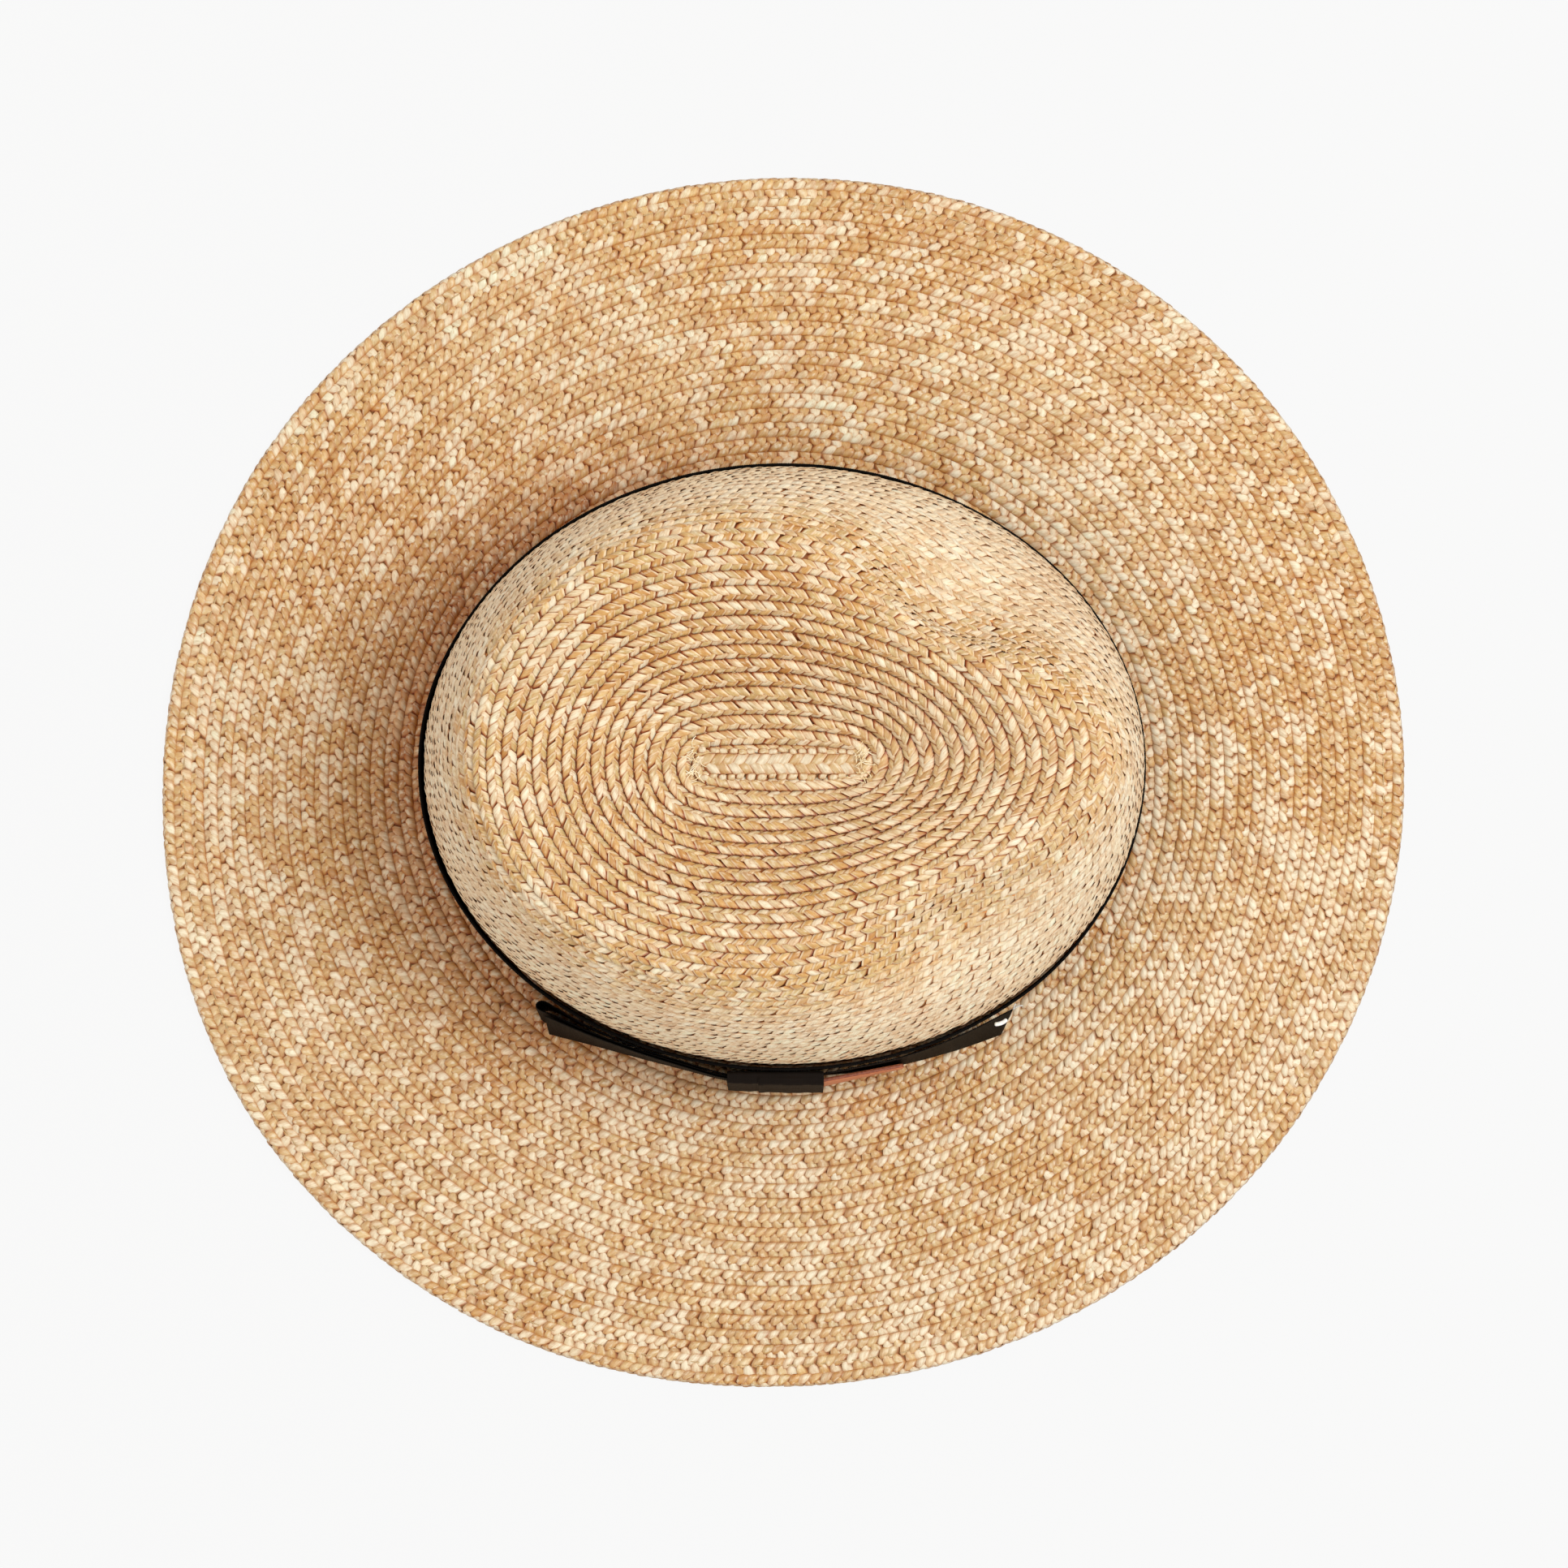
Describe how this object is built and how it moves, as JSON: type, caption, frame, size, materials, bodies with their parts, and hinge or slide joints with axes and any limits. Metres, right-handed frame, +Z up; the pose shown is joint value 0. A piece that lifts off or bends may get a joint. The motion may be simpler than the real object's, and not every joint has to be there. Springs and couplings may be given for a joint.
{
  "type": "wide-brim straw fedora hat",
  "caption": "Wide-brim sewn straw braid fedora with a pinched teardrop crown, black ribbon hatband with a flat side bow, plain leather tab and inner sweatband.",
  "frame": {"origin": "centre of the head opening, on the plane where the crown meets the brim", "axes": "+X to the wearer's front, +Y to the wearer's left, +Z up; the bow is on the -Y side"},
  "size_m": [0.3659, 0.3565, 0.1181],
  "materials": {
    "straw_braid": "woven wheat straw braid, golden tan with paler straws, silky sheen",
    "black_grosgrain": "ribbed black grosgrain ribbon, matte",
    "leather": "reddish tan leather, smooth, plain",
    "nylon": "translucent white nylon",
    "thread": "pale straw-coloured cotton thread",
    "sweatband_tape": "beige cotton sweatband tape",
    "tag_tape": "white woven tape, blank"
  },
  "bodies": {
    "root": {"crown_start_strip": "straw_braid", "crown_braid": "straw_braid", "brim_braid": "straw_braid", "brim_edge_row": "straw_braid", "edge_row_stitching": "thread", "hatband_ribbon": "black_grosgrain", "bow_left_loop": "black_grosgrain", "bow_left_tail": "black_grosgrain", "bow_right_tail": "black_grosgrain", "bow_knot": "black_grosgrain", "bow_tack_pin": "nylon", "bow_thread_end": "thread", "leather_tab": "leather", "sweatband": "sweatband_tape", "sweatband_stitching": "thread", "sweatband_size_tag": "tag_tape"}
  },
  "joints": []
}
